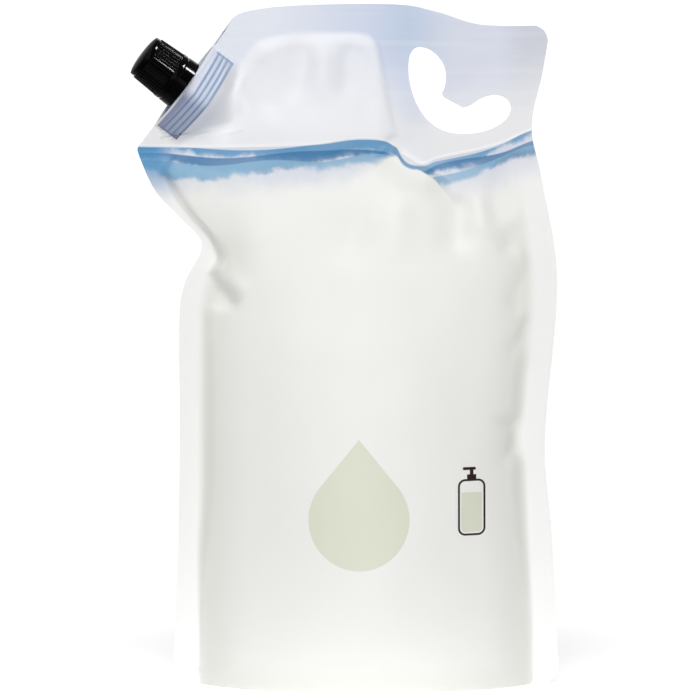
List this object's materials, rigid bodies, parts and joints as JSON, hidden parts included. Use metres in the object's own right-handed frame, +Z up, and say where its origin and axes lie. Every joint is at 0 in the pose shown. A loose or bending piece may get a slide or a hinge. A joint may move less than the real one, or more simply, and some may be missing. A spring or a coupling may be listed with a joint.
{
  "type": "hand soap refill pack",
  "caption": "Filled stand-up pouch with side seals and a bottom gusset, a welded corner spout with a threaded neck and screw cap, and a punched hand hole in its sealed corner.",
  "frame": {"origin": "on the ground under the middle of the pack's box", "axes": "+Z up, the front faces -Y, the spout is in the -X upper corner and the hand hole in the +X upper corner"},
  "size_m": [0.226, 0.0934, 0.3602],
  "materials": {
    "film": "satin printed film",
    "spout_plastic": "milky moulded",
    "cap_plastic": "gloss moulded",
    "liner_foam": "matt foamed"
  },
  "bodies": {
    "pack": {"pouch": "film", "spout": "spout_plastic", "tamper_band": "cap_plastic"},
    "liner": {"cap_liner": "liner_foam"},
    "cap": {"cap": "cap_plastic"}
  },
  "joints": [
    {"name": "cap_lift", "type": "slide", "parent": "pack", "child": "liner", "axis": [-0.7866, -0.165, 0.5949], "range_m": [0, 0.00901]},
    {"name": "cap_turn", "type": "hinge", "parent": "liner", "child": "cap", "pos_m": [-0.08496, -0.00753, 0.31689], "axis": [-0.7866, -0.165, 0.5949], "range_deg": [0, 810]}
  ],
  "couplings": [
    {"joint": "cap_lift", "follows": "cap_turn", "m_per_rad": 0.00063662}
  ]
}
